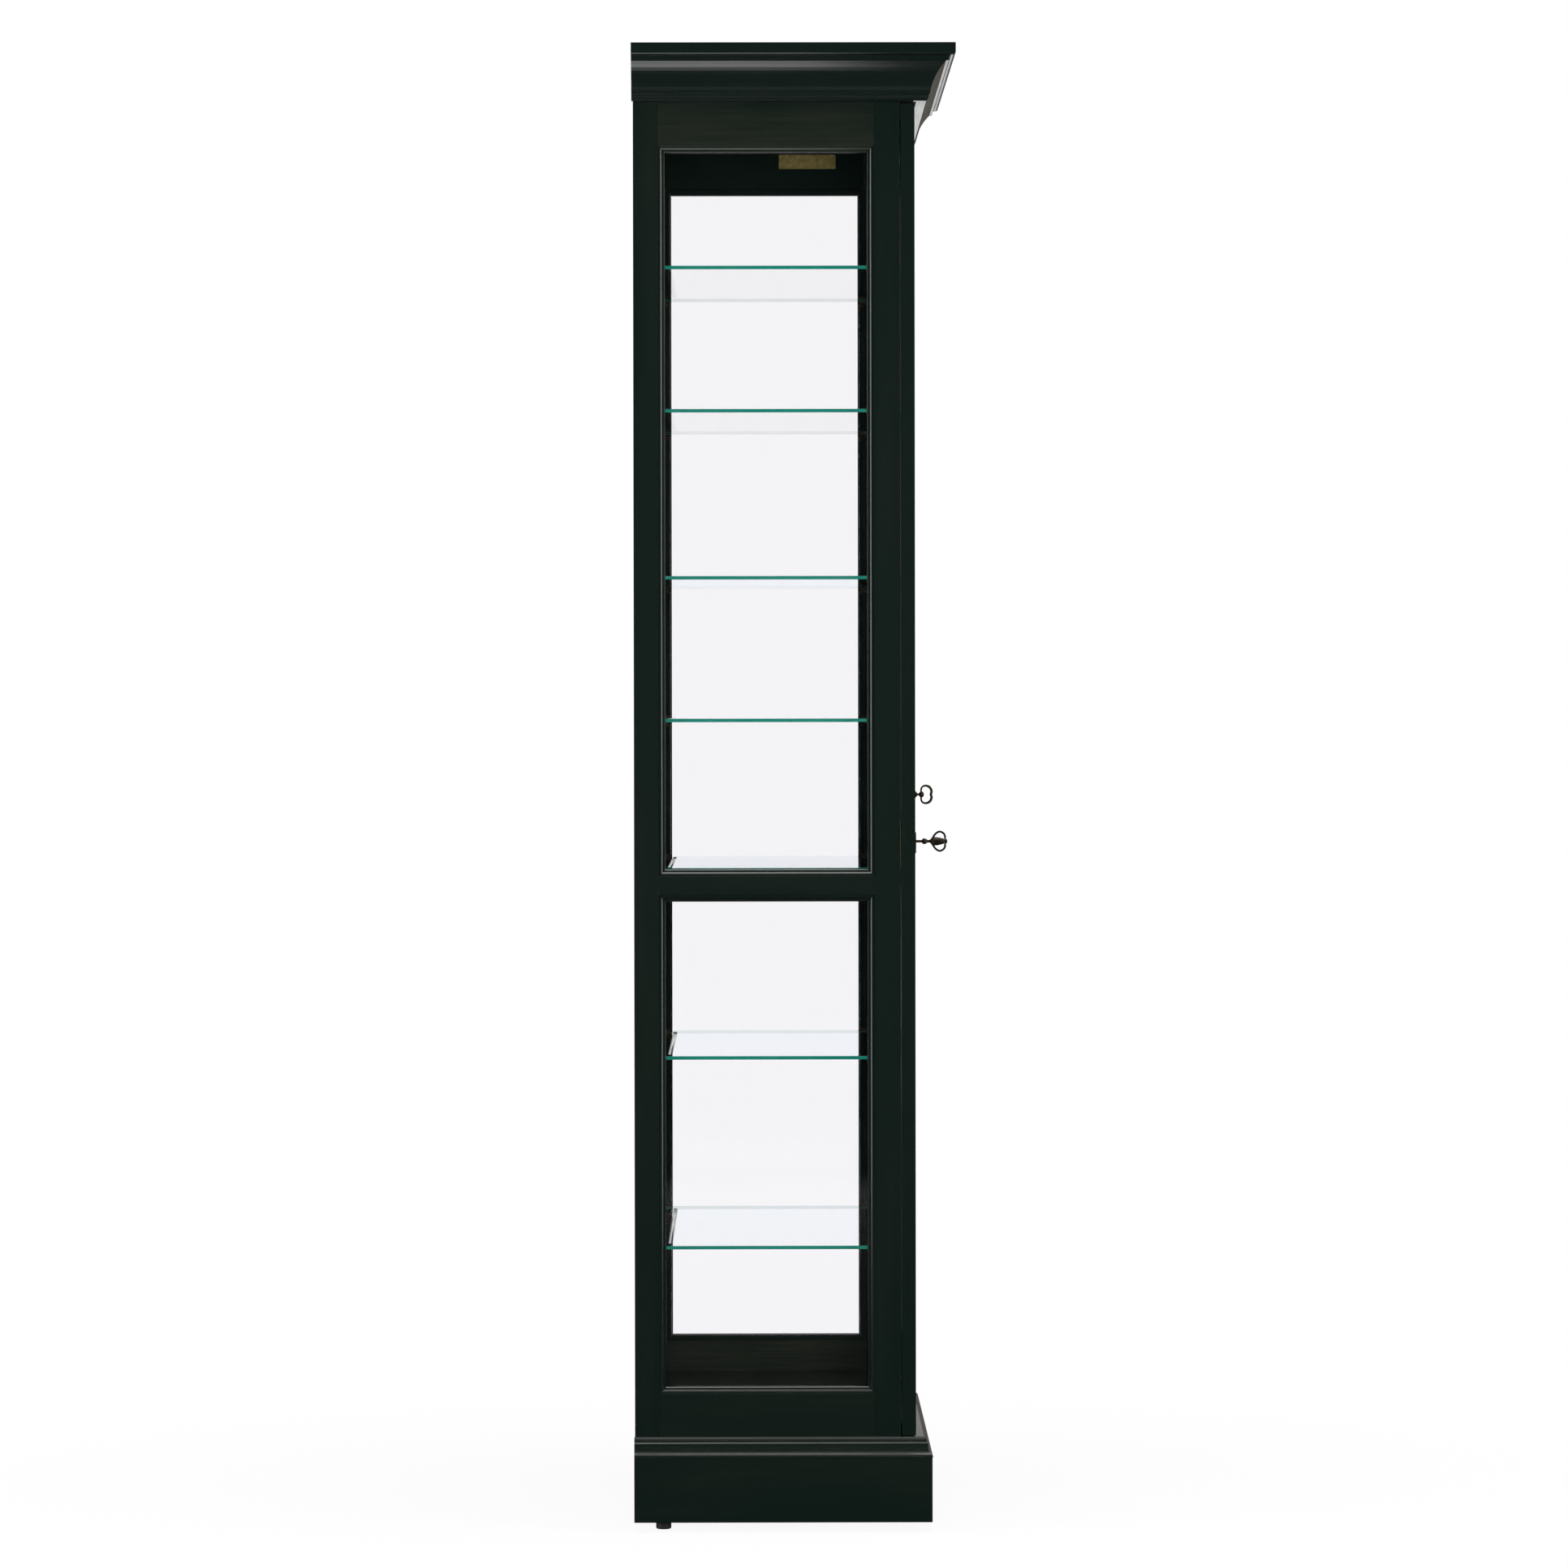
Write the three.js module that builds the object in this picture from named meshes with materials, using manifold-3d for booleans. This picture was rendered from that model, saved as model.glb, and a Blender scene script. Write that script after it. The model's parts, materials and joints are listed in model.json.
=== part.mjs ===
// Glass display showcase: a tall lacquered cabinet with glazed sides and one glazed door.
// Millimetres. +Z is up, the door faces -Y, and the origin is on the floor under the middle.
import * as THREE from 'three';
import { mergeVertices } from 'three/addons/utils/BufferGeometryUtils.js';
import Module from 'manifold-3d';

const wasm = await Module();
wasm.setup();

// ---------------------------------------------------------------- driving dimensions
const GAP = 0.3;                 // clearance between pieces that touch
const HEIGHT = 2032;
const SIDE_X = 381;              // outer faces of the carcass sides
const CARCASS_FRONT = -145;
const CARCASS_BACK = 219;
const SIDE_THICK = 20;
const INNER_X = SIDE_X - SIDE_THICK;

const CROWN = { x: 424, front: -221, back: 221, bottom: 1956, depth: 52.7 };
const BASE = { x: 394, front: -188.8, back: 220, capTop: 130, plinthTop: 102, bottom: 13.6 };
const CAP_DEPTH = 12.7;
const PLINTH_THICK = 25;
const PLINTH_INSET = 0.8;        // plinth faces stand this far behind the cap's lower edge

// side openings, measured at the outer line of the moulding that frames them
const SIDE_OPENING = { a0: -110.4, a1: 185.8 };
const UPPER = { b0: 897.1, b1: 1896 };
const LOWER = { b0: 188.4, b1: 872.4 };
const GLASS = 4;
const GLASS_DEPTH = 10.7;        // outer face of a frame to the outer face of its glass
const REBATE = 1.3;              // edge of the glass, inside the moulding's outer line

const DOOR = { front: -165.7, thick: 19, bottom: 131.6, top: 1952.5, stile: 50 };
const DOOR_BACK = DOOR.front + DOOR.thick;

const FLOOR = { bottom: 126, tongueTop: 138, top: 144, groove: 6 };
const BACK_BOARD = { front: 207, mirror: 4 };
const TOP_THICK = 18;

const SHELF = { x: 357, front: -125, back: 195, thick: 4.8 };
const SHELF_LEVELS = [387, 647.5, 905.6, 1110.4, 1305.9, 1534.7, 1730.8];
const PLATE_GROOVE = { y: 170.7, half: 3, depth: 1.4, stop: 45 };
const NAMEPLATE = { y0: -68, y1: 16, z0: 1925.3, z1: 1946.3, thick: 1.1, glue: 0.2 };

const HINGE = { x: 385.3, y: (CARCASS_FRONT + DOOR_BACK) / 2, levels: [300, 1042, 1785] };
const LEAF = { thick: 1.6, height: 63, inner: 362, barrel: 3.2, pin: 1.4, space: 0.15 };
const LEAF_ROOM = LEAF.space + LEAF.thick + GAP;   // hinge plane to the end of a leaf's pocket

const LOCK = { x: -346, z: 944.1, pullZ: 1008.4 };
const BOLT = { x0: -359.2, x1: -337, y0: -143.6, y1: -134.8, z0: 950, z1: 964 };
const LOCK_CASE = { x0: -359.5, x1: -331, y0: -146.4, y1: -131.5, z0: 913.5, z1: 973.5, wall: 1.8 };
const KEYHOLE = { r: 4, slot: 4.4, drop: 8.5 };
const ESCUTCHEON = { rx: 8.5, rz: 14.5, drop: 2, space: 0.2, edge: 0.4, flat: 0.9 };

const FOOT = { rearX: 347, rearY: 180.4, frontX: 256, frontY: -140, stud: 4, studTop: 58 };
const RUNNER = { rearY: 150, frontY: -115 };

// ---------------------------------------------------------------- finishes
const LACQUER = { color: 0x12201b, roughness: 0.32, metalness: 0 };
const CLEAR_GLASS = { color: 0xdcebe6, roughness: 0.03, metalness: 0, transparent: true, opacity: 0.3 };
const MIRROR = { color: 0xd8dcdc, roughness: 0.03, metalness: 1 };
const BRASS = { color: 0xa08a4c, roughness: 0.35, metalness: 1 };
const BRONZE = { color: 0x2e2418, roughness: 0.42, metalness: 0.85 };
const STEEL = { color: 0x8d9092, roughness: 0.4, metalness: 1 };
const NYLON = { color: 0x232424, roughness: 0.6, metalness: 0 };

const showcase = new THREE.Group();

function addPiece(name, geometry, finish) {
  geometry.computeVertexNormals();
  const mesh = new THREE.Mesh(geometry, new THREE.MeshStandardMaterial(finish));
  mesh.name = name;
  showcase.add(mesh);
}

// ---------------------------------------------------------------- solids
function toSolid(geometry) {
  const bare = geometry.clone();
  bare.deleteAttribute('normal');
  bare.deleteAttribute('uv');
  const merged = mergeVertices(bare, 1e-4);
  return new wasm.Manifold(new wasm.Mesh({
    numProp: 3,
    vertProperties: new Float32Array(merged.attributes.position.array),
    triVerts: new Uint32Array(merged.index.array),
  }));
}

function toGeometry(solid) {
  const mesh = solid.getMesh();
  const geometry = new THREE.BufferGeometry();
  geometry.setAttribute('position', new THREE.BufferAttribute(mesh.vertProperties, 3));
  geometry.setIndex(new THREE.BufferAttribute(mesh.triVerts, 1));
  return geometry.toNonIndexed();
}

function join(...pieces) {
  return toGeometry(pieces.map(toSolid).reduce((whole, piece) => whole.add(piece)));
}

function cut(body, ...tools) {
  return toGeometry(tools.map(toSolid).reduce((rest, tool) => rest.subtract(tool), toSolid(body)));
}

function box(x0, x1, y0, y1, z0, z1) {
  const geometry = new THREE.BoxGeometry(x1 - x0, y1 - y0, z1 - z0);
  return geometry.translate((x0 + x1) / 2, (y0 + y1) / 2, (z0 + z1) / 2);
}

// A moulding: profile points [s, d] swept along v, with each end mitred or square.
// place(s, v, d) turns the profile's own directions into x, y, z.
function strip(profile, v0, v1, mitre0, mitre1, place) {
  const count = profile.length;
  const near = profile.map(([s, d]) => place(s, v0 + mitre0 * s, d));
  const far = profile.map(([s, d]) => place(s, v1 - mitre1 * s, d));
  const caps = THREE.ShapeUtils.triangulateShape(profile.map((p) => new THREE.Vector2(...p)), []);
  const faces = caps.flatMap(([a, b, c]) => [[a, b, c], [count + c, count + b, count + a]]);
  const turn = THREE.ShapeUtils.area(profile.map((p) => new THREE.Vector2(...p))) > 0;
  for (let i = 0; i < count; i += 1) {
    const j = (i + 1) % count;
    const side = [[i, count + i, count + j], [i, count + j, j]];
    faces.push(...(turn ? side : side.map((f) => [...f].reverse())));
  }
  return closedMesh([...near, ...far], faces);
}

// Builds a mesh from corners and faces, and turns all faces round if they point inward.
function closedMesh(corners, faces) {
  const volume = faces.reduce((sum, [a, b, c]) => {
    const [p, q, r] = [a, b, c].map((i) => new THREE.Vector3(...corners[i]));
    return sum + p.dot(q.cross(r));
  }, 0);
  const ordered = volume > 0 ? faces : faces.map(([a, b, c]) => [a, c, b]);
  const geometry = new THREE.BufferGeometry();
  geometry.setAttribute('position', new THREE.Float32BufferAttribute(corners.flat(), 3));
  geometry.setIndex(ordered.flat());
  return geometry.toNonIndexed();
}

function curvePoints(p0, control, p1, steps) {
  const curve = new THREE.QuadraticBezierCurve(
    new THREE.Vector2(...p0), new THREE.Vector2(...control), new THREE.Vector2(...p1));
  return curve.getPoints(steps).map((p) => [p.x, p.y]);
}

// Turned work. Points are [radius, height] from the axis out and back to it.
function turned(points, segments = 24) {
  const outline = points.map((p) => new THREE.Vector2(...p));
  return new THREE.LatheGeometry(outline, segments).rotateX(Math.PI / 2);
}

// A turned piece that stands out of the door's face, with heights measured from that face.
function turnedOut(points, x, z, segments = 20) {
  const outline = points.map((p) => new THREE.Vector2(...p));
  return new THREE.LatheGeometry(outline, segments).rotateX(Math.PI)
    .translate(x, DOOR.front, z);
}

function wire(points, radius, closed, steps) {
  const curve = new THREE.CatmullRomCurve3(points.map((p) => new THREE.Vector3(...p)), closed);
  const section = new THREE.Shape(new THREE.EllipseCurve(0, 0, radius, radius).getPoints(10).slice(0, -1));
  return new THREE.ExtrudeGeometry(section, { extrudePath: curve, steps, bevelEnabled: false });
}

// ---------------------------------------------------------------- mouldings
// Sticking on the inner edges of every frame: a small step, an ogee and a bead.
function sticking(thick) {
  return [
    [0, 0], [0.2, 1.1],
    ...curvePoints([1.2, 1.3], [5.9, 1.7], [6.3, 5.2], 5),
    ...curvePoints([6.8, 5.2], [9.9, 5], [10.1, 9.2], 6),
    [10.1, GLASS_DEPTH - GAP], [1, GLASS_DEPTH - GAP], [1, thick], [0, thick],
  ];
}

// Crown: w is the distance in from the outermost line, then height.
function crownProfile() {
  return [
    [0, HEIGHT],
    ...curvePoints([0, 2018.8], [0.3, 2016.2], [3.6, 2015.6], 4),
    ...curvePoints([6, 2015.4], [8.6, 2015], [8.9, 2012.6], 3),
    [9.1, 2008.6],
    ...curvePoints([13, 2008.2], [31.5, 1988], [34, 1966], 10),
    [35.6, 1964.6], [35.6, 1963],
    ...curvePoints([36, 1961], [36.4, 1957.8], [39, 1957.2], 4),
    [39.2, CROWN.bottom], [CROWN.depth, CROWN.bottom], [CROWN.depth, HEIGHT],
  ];
}

// Base cap: the same kind of profile, from the plinth's top edge up to the carcass.
function capProfile(depth) {
  return [
    [0, BASE.plinthTop + GAP],
    ...curvePoints([0.2, 104], [0.6, 107.6], [4.2, 108.4], 4),
    ...curvePoints([4.8, 108.6], [6.4, 112], [6.8, 121], 5),
    [7.9, 122.4],
    ...curvePoints([8.3, 123.2], [8.5, 128.6], [11.8, BASE.capTop], 4),
    [depth, BASE.capTop], [depth, BASE.plinthTop + GAP],
  ];
}

// ---------------------------------------------------------------- glazed frames
const MITRE_GAP = GAP * Math.SQRT1_2;

// One mitred length of sticking along an edge of an opening, in the frame's own plane (a, b).
function stickingStrip(opening, edge, thick, facing) {
  const { a0, a1, b0, b1 } = opening;
  const places = {
    bottom: (s, v, d) => facing(v, b0 + s, d),
    top: (s, v, d) => facing(v, b1 - s, d),
    left: (s, v, d) => facing(a0 + s, v, d),
    right: (s, v, d) => facing(a1 - s, v, d),
  };
  const [v0, v1] = edge === 'bottom' || edge === 'top' ? [a0, a1] : [b0, b1];
  return strip(sticking(thick), v0 + MITRE_GAP, v1 - MITRE_GAP, 1, 1, places[edge]);
}

function flatBoard(a0, a1, b0, b1, thick, facing) {
  const outline = [[a0, 0], [a1, 0], [a1, thick], [a0, thick]];
  return strip(outline, b0, b1, 0, 0, (s, v, d) => facing(s, v, d));
}

// The five members of a frame with an upper and a lower opening.
function frameMembers(outer, a, thick, facing) {
  const upper = { ...a, ...UPPER };
  const lower = { ...a, ...LOWER };
  const rail = [a.a0 + GAP, a.a1 - GAP];
  const stick = (opening, edge) => stickingStrip(opening, edge, thick, facing);
  const board = (a0, a1, b0, b1) => flatBoard(a0, a1, b0, b1, thick, facing);
  return {
    first_stile: join(
      board(outer.a0, a.a0, outer.b0, outer.b1), stick(upper, 'left'), stick(lower, 'left')),
    second_stile: join(
      board(a.a1, outer.a1, outer.b0, outer.b1), stick(upper, 'right'), stick(lower, 'right')),
    top_rail: join(board(...rail, UPPER.b1, outer.b1), stick(upper, 'top')),
    mid_rail: join(board(...rail, LOWER.b1, UPPER.b0), stick(upper, 'bottom'), stick(lower, 'top')),
    bottom_rail: join(board(...rail, outer.b0, LOWER.b0), stick(lower, 'bottom')),
  };
}

function pane(a, opening, facing) {
  const outline = [
    [a.a0 + REBATE, GLASS_DEPTH], [a.a1 - REBATE, GLASS_DEPTH],
    [a.a1 - REBATE, GLASS_DEPTH + GLASS], [a.a0 + REBATE, GLASS_DEPTH + GLASS],
  ];
  return strip(outline, opening.b0 + REBATE, opening.b1 - REBATE, 0, 0, (s, v, d) => facing(s, v, d));
}

// ---------------------------------------------------------------- carcass sides
const hingePocket = (y0, y1, z) => box(LEAF.inner - GAP, SIDE_X + 1, y0, y1,
  z - LEAF.height / 2 - GAP, z + LEAF.height / 2 + GAP);

function addSide(side, sign) {
  const facing = (a, b, d) => [sign * (SIDE_X - d), a, b];
  const outer = { a0: CARCASS_FRONT, a1: CARCASS_BACK, b0: BASE.plinthTop + GAP, b1: CROWN.bottom - GAP };
  const members = frameMembers(outer, SIDE_OPENING, SIDE_THICK, facing);
  const grooveX = [INNER_X - 1, INNER_X + FLOOR.groove + GAP].map((x) => sign * x).sort((p, q) => p - q);
  const floorGroove = box(...grooveX, CARCASS_FRONT - 1, BACK_BOARD.front,
    FLOOR.bottom - GAP, FLOOR.tongueTop + GAP);
  const frontCuts = [floorGroove];
  if (sign > 0) {
    HINGE.levels.forEach((z) => frontCuts.push(hingePocket(CARCASS_FRONT - 1, HINGE.y + LEAF_ROOM, z)));
  } else {
    const boltRoom = [BOLT.y0 - GAP, BOLT.y1 + GAP, BOLT.z0 - GAP, BOLT.z1 + GAP];
    frontCuts.push(box(-INNER_X - 10, -INNER_X + 1, ...boltRoom));
  }
  addPiece(`${side}_front_stile`, cut(members.first_stile, ...frontCuts), LACQUER);
  addPiece(`${side}_back_stile`, cut(members.second_stile, floorGroove), LACQUER);
  addPiece(`${side}_top_rail`, members.top_rail, LACQUER);
  addPiece(`${side}_mid_rail`, members.mid_rail, LACQUER);
  addPiece(`${side}_bottom_rail`, cut(members.bottom_rail, floorGroove), LACQUER);
  addPiece(`${side}_upper_glass`, pane(SIDE_OPENING, UPPER, facing), CLEAR_GLASS);
  addPiece(`${side}_lower_glass`, pane(SIDE_OPENING, LOWER, facing), CLEAR_GLASS);
}

// ---------------------------------------------------------------- boards
function addBoards() {
  const insideX = INNER_X - GAP;
  const topX = CROWN.x - CROWN.depth - GAP;
  const floorX = INNER_X + FLOOR.groove;
  const mirrorFront = BACK_BOARD.front - GAP - BACK_BOARD.mirror;
  const front = CARCASS_FRONT + GAP;
  // a tongue enters the sides' grooves and runs back under the mirror
  addPiece('floor_panel', join(
    box(-floorX, floorX, front, BACK_BOARD.front - GAP, FLOOR.bottom, FLOOR.tongueTop),
    box(-insideX, insideX, front, mirrorFront - GAP, FLOOR.tongueTop, FLOOR.top),
  ), LACQUER);
  addPiece('top_panel', box(-topX, topX, CROWN.front + CROWN.depth + GAP, CARCASS_BACK - 1,
    CROWN.bottom, CROWN.bottom + TOP_THICK), LACQUER);
  addPiece('back_panel', box(-insideX, insideX, BACK_BOARD.front, CARCASS_BACK,
    BASE.plinthTop + GAP, CROWN.bottom - GAP), LACQUER);
  addPiece('back_mirror', box(-insideX, insideX, mirrorFront, BACK_BOARD.front - GAP,
    FLOOR.tongueTop + GAP, CROWN.bottom - GAP), MIRROR);
}

// ---------------------------------------------------------------- crown and base
// A moulding that wraps the front and both sides, mitred at the front corners.
function addWrap(name, profile, size, frontGeometry) {
  const m = MITRE_GAP;
  addPiece(`${name}_front`, frontGeometry
    ?? strip(profile, -size.x + m, size.x - m, 1, 1, (w, v, z) => [v, size.front + w, z]), LACQUER);
  [['left', -1], ['right', 1]].forEach(([side, sign]) => {
    const place = (w, v, z) => [sign * (size.x - w), v, z];
    addPiece(`${name}_${side}`, strip(profile, size.front + m, size.back, 1, 0, place), LACQUER);
  });
}

// The cap's front length is wider than its sides: it runs back under the door to the carcass.
function capFront() {
  const depth = CARCASS_FRONT - GAP - BASE.front;
  const block = strip(capProfile(depth), -BASE.x, BASE.x, 0, 0, (w, v, z) => [v, BASE.front + w, z]);
  const m = MITRE_GAP;
  const innerX = BASE.x - CAP_DEPTH - m;
  const mitreY = BASE.front + CAP_DEPTH;
  const plan = new THREE.Shape([
    [-BASE.x + m - 1, BASE.front - 1], [BASE.x - m + 1, BASE.front - 1], [innerX, mitreY],
    [innerX, CARCASS_FRONT], [-innerX, CARCASS_FRONT], [-innerX, mitreY],
  ].map((p) => new THREE.Vector2(...p)));
  const prism = new THREE.ExtrudeGeometry(plan, { depth: 60, bevelEnabled: false });
  return toGeometry(toSolid(block).intersect(toSolid(prism.translate(0, 0, BASE.plinthTop - 10))));
}

function addCrownAndBase() {
  addWrap('crown', crownProfile(), CROWN);
  addWrap('base_cap', capProfile(CAP_DEPTH), BASE, capFront());
  const inner = PLINTH_INSET + PLINTH_THICK;
  const board = [
    [PLINTH_INSET, BASE.bottom], [inner, BASE.bottom],
    [inner, BASE.plinthTop], [PLINTH_INSET, BASE.plinthTop],
  ];
  addWrap('plinth', board, BASE);
  const x = BASE.x - inner - GAP;
  addPiece('plinth_back', box(-x, x, BASE.back - PLINTH_THICK, BASE.back - PLINTH_INSET,
    BASE.bottom, BASE.plinthTop), LACQUER);
}

// ---------------------------------------------------------------- runners and levelling feet
function footSpots() {
  return [
    ['front_left', -FOOT.frontX, FOOT.frontY], ['front_right', FOOT.frontX, FOOT.frontY],
    ['rear_left', -FOOT.rearX, FOOT.rearY], ['rear_right', FOOT.rearX, FOOT.rearY],
  ];
}

function addRunnersAndFeet() {
  const x = BASE.x - PLINTH_INSET - PLINTH_THICK - GAP;
  const z = [BASE.bottom + GAP, BASE.plinthTop - GAP];
  const spans = {
    front: [BASE.front + PLINTH_INSET + PLINTH_THICK + GAP, RUNNER.frontY],
    rear: [RUNNER.rearY, BASE.back - PLINTH_THICK - GAP],
  };
  const bore = { r: FOOT.stud + 0.4, top: FOOT.studTop + 2 };
  const bores = footSpots().map(([name, fx, fy]) => [
    name, turned([[0, 0], [bore.r, 0], [bore.r, bore.top], [0, bore.top]]).translate(fx, fy, 0),
  ]);
  Object.entries(spans).forEach(([end, span]) => {
    const tools = bores.filter(([name]) => name.startsWith(end)).map(([, tool]) => tool);
    addPiece(`foot_runner_${end}`, cut(box(-x, x, ...span, ...z), ...tools), LACQUER);
  });
  const outline = [
    [0, 0], ...curvePoints([8.4, 0], [10.5, 0.2], [10.5, 3], 4),
    [10.5, 8.4], [9.4, 9.8], [4.6, 10.6], [FOOT.stud, 11.4], [FOOT.stud, FOOT.studTop], [0, FOOT.studTop],
  ];
  footSpots().forEach(([name, fx, fy]) => {
    addPiece(`levelling_foot_${name}`, turned(outline).translate(fx, fy, 0), NYLON);
  });
}

// ---------------------------------------------------------------- glass shelves and plate
function addShelves() {
  const radius = (PLATE_GROOVE.half ** 2 + PLATE_GROOVE.depth ** 2) / (2 * PLATE_GROOVE.depth);
  const reach = SHELF.x - PLATE_GROOVE.stop;
  SHELF_LEVELS.forEach((level, i) => {
    const top = level + SHELF.thick / 2;
    const cutter = new THREE.CylinderGeometry(radius, radius, 2 * reach, 24).rotateZ(Math.PI / 2)
      .translate(0, PLATE_GROOVE.y, top + radius - PLATE_GROOVE.depth);
    const plate = box(-SHELF.x, SHELF.x, SHELF.front, SHELF.back, top - SHELF.thick, top);
    addPiece(`glass_shelf_${i + 1}`, cut(plate, cutter), CLEAR_GLASS);
  });
}

function addNameplate() {
  const { y0, y1, z0, z1, thick, glue } = NAMEPLATE;
  const x = INNER_X - glue;
  addPiece('blank_nameplate', box(x - thick, x, y0, y1, z0, z1), BRASS);
}

// ---------------------------------------------------------------- door
// A keyhole along Y: a round hole with a slot below it for the key's bit.
function keyholeCutter(y0, y1, grow = 0) {
  const round = new THREE.CylinderGeometry(KEYHOLE.r + grow, KEYHOLE.r + grow, y1 - y0, 24)
    .translate(LOCK.x, (y0 + y1) / 2, LOCK.z);
  const half = KEYHOLE.slot / 2 + grow;
  return join(round, box(LOCK.x - half, LOCK.x + half, y0, y1, LOCK.z - KEYHOLE.drop - grow, LOCK.z));
}

function addDoor() {
  const facing = (a, b, d) => [a, DOOR.front + d, b];
  const outer = { a0: -SIDE_X, a1: SIDE_X, b0: DOOR.bottom, b1: DOOR.top };
  const opening = { a0: -SIDE_X + DOOR.stile, a1: SIDE_X - DOOR.stile };
  const members = frameMembers(outer, opening, DOOR.thick, facing);
  const pockets = HINGE.levels.map((z) => hingePocket(HINGE.y - LEAF_ROOM, DOOR_BACK + 1, z));
  const keyhole = keyholeCutter(DOOR.front - 1, DOOR_BACK + 1, 0.6);
  addPiece('door_lock_stile', cut(members.first_stile, keyhole), LACQUER);
  addPiece('door_hinge_stile', cut(members.second_stile, ...pockets), LACQUER);
  addPiece('door_top_rail', members.top_rail, LACQUER);
  addPiece('door_mid_rail', members.mid_rail, LACQUER);
  addPiece('door_bottom_rail', members.bottom_rail, LACQUER);
  addPiece('door_upper_glass', pane(opening, UPPER, facing), CLEAR_GLASS);
  addPiece('door_lower_glass', pane(opening, LOWER, facing), CLEAR_GLASS);
}

// ---------------------------------------------------------------- hinges
const rod = (radius, z0, z1) => turned([[0, z0], [radius, z0], [radius, z1], [0, z1]])
  .translate(HINGE.x, HINGE.y, 0);

// One butt hinge: the carcass leaf carries the end knuckles, the door leaf the middle one and the pin.
function addHinge(name, z) {
  const half = LEAF.height / 2;
  const middle = LEAF.height / 6;
  const { space } = LEAF;
  const leafX = [LEAF.inner, HINGE.x - 1];
  const carcassLeaf = box(...leafX, HINGE.y + space, HINGE.y + space + LEAF.thick, z - half, z + half);
  const doorLeaf = box(...leafX, HINGE.y - space - LEAF.thick, HINGE.y - space, z - half, z + half);
  const ends = [[z - half, z - middle - GAP], [z + middle + GAP, z + half]];
  const carcassSolid = join(carcassLeaf, ...ends.map((span) => rod(LEAF.barrel, ...span)));
  const middleRoom = rod(LEAF.barrel + GAP, z - middle - GAP, z + middle + GAP);
  const pinRoom = rod(LEAF.pin + 0.1, z - half - 1, z + half + 1);
  addPiece(`${name}_carcass_leaf`, cut(carcassSolid, middleRoom, pinRoom), STEEL);
  const trimmed = cut(doorLeaf, ...ends.map((span) => rod(LEAF.barrel + GAP, span[0] - 1, span[1] + GAP)));
  const tip = turned([[0, -1.2], [2.2, -1.2], [2.8, -0.3], [2.8, 0.8], [2, 2.2], [0, 2.8]]);
  const topTip = tip.clone().translate(HINGE.x, HINGE.y, z + half + 1.5);
  const bottomTip = tip.clone().rotateX(Math.PI).translate(HINGE.x, HINGE.y, z - half - 1.5);
  addPiece(`${name}_door_leaf`, join(
    trimmed, rod(LEAF.barrel, z - middle, z + middle), rod(LEAF.pin, z - half - 1, z + half + 1),
    topTip, bottomTip,
  ), STEEL);
}

// ---------------------------------------------------------------- lock, key and pull
function addLock() {
  const c = LOCK_CASE;
  const w = c.wall;
  const shell = box(c.x0, c.x1, c.y0, c.y1, c.z0, c.z1);
  const hollow = box(c.x0 + w, c.x1 - w, c.y0 + w, c.y1 - w, c.z0 + w, c.z1 - w);
  const slot = box(c.x0 - 1, c.x0 + w + 1, BOLT.y0 - GAP, BOLT.y1 + GAP, BOLT.z0 - GAP, BOLT.z1 + GAP);
  addPiece('lock_case', cut(shell, hollow, slot, keyholeCutter(c.y0 - 1, c.y0 + w + 1)), BRASS);
  addPiece('lock_bolt', box(BOLT.x0, BOLT.x1, BOLT.y0, BOLT.y1, BOLT.z0, BOLT.z1), BRASS);

  const { rx, rz, drop, space, edge, flat } = ESCUTCHEON;
  const plate = new THREE.Shape();
  plate.absellipse(0, 0, rx, rz, 0, 2 * Math.PI);
  const oval = new THREE.ExtrudeGeometry(plate, {
    depth: flat, bevelThickness: edge, bevelSize: edge, bevelOffset: -edge,
    bevelSegments: 2, curveSegments: 20,
  }).rotateX(Math.PI / 2).translate(LOCK.x, DOOR.front - space - edge, LOCK.z - drop);
  addPiece('escutcheon', cut(oval, keyholeCutter(DOOR.front - 5, DOOR.front + 2)), BRONZE);
}

// Distances out of the door's face, then up from the key's or pull's own centre.
const outward = (x, z) => ([out, up]) => [x, DOOR.front - out, z + up];

function addKey() {
  const stemEnd = -29.5;
  const body = turnedOut([
    [0, stemEnd], [1.5, stemEnd], [1.5, 10.6], [3.7, 11.6], [1.2, 14], [1.2, 14.5], [5, 19.4],
    ...curvePoints([5.4, 20.2], [6.3, 29], [3.1, 40.4], 7),
    ...curvePoints([2.9, 41], [5.4, 43], [0, 44.8], 5),
  ], LOCK.x, LOCK.z);
  const bit = box(LOCK.x - 0.9, LOCK.x + 0.9, DOOR.front + 22, DOOR.front + 28, LOCK.z - 7, LOCK.z);
  const lobe = [[24.5, 4.2], [28.6, 10.2], [34, 13.2], [39.2, 11.2], [41.6, 7.2], [41.4, 3.4]];
  const loops = [1, -1].map((up) => {
    const points = lobe.map(([out, rise]) => outward(LOCK.x, LOCK.z)([out, up * rise]));
    return wire(points, 1, false, 22);
  });
  addPiece('key', join(body, bit, ...loops), BRONZE);
}

function addPull() {
  const stem = turnedOut([
    [0, 0.2], [5.3, 0.2], [5.1, 0.9], [1.3, 4.6], [1.3, 5.2], [4.6, 8.4], [4.6, 9.8], [3, 12], [0, 12.6],
  ], LOCK.x, LOCK.pullZ);
  const half = [
    [8.9, 3.8], [9.2, 8.2], [11.6, 11.2], [15.6, 12], [20, 10.4], [22.9, 6.8], [23.6, 3], [22.6, 0.8],
  ];
  const ring = [...half, ...half.map(([out, up]) => [out, -up]).reverse()];
  const loop = wire(ring.map(outward(LOCK.x, LOCK.pullZ)), 1.15, true, 48);
  addPiece('pull', join(stem, loop), BRONZE);
}

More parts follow.
